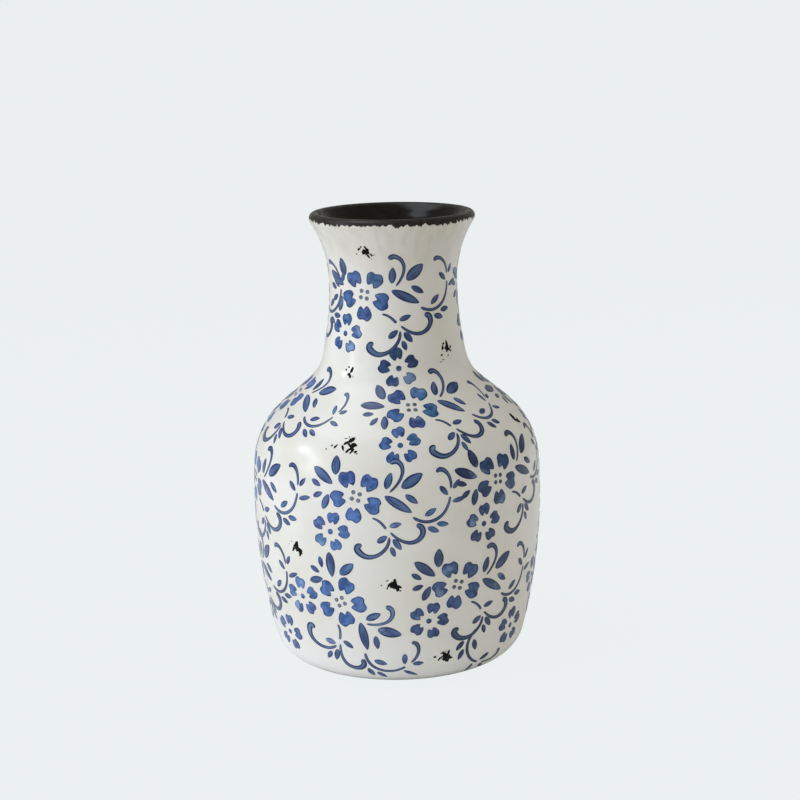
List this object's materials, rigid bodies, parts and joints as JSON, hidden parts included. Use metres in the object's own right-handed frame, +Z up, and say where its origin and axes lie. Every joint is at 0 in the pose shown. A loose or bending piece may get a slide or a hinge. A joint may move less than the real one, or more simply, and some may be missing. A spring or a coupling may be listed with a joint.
{
  "type": "pottery vase",
  "caption": "Round-shouldered ceramic vase with a waisted neck and flared mouth: cream outside, black lip and lining, dry foot ring; holds flowers and water.",
  "frame": {"origin": "centre of the foot ring, on the surface that the vase stands on", "axes": "+Z up along the vase's axis, -Y towards the pictured front, +X to the right of it"},
  "size_m": [0.178, 0.178, 0.28],
  "materials": {
    "clay": "fired dark clay, dry and matte on the foot ring",
    "cream_glaze": "glossy warm white tin glaze with faint crackle",
    "rim_glaze": "satin brown-black glaze with a ragged lower edge",
    "lining_glaze": "glossy black glaze"
  },
  "bodies": {
    "root": {"clay_body": "clay", "cream_coat": "cream_glaze", "rim_band": "rim_glaze", "inner_glaze": "lining_glaze"}
  },
  "joints": []
}
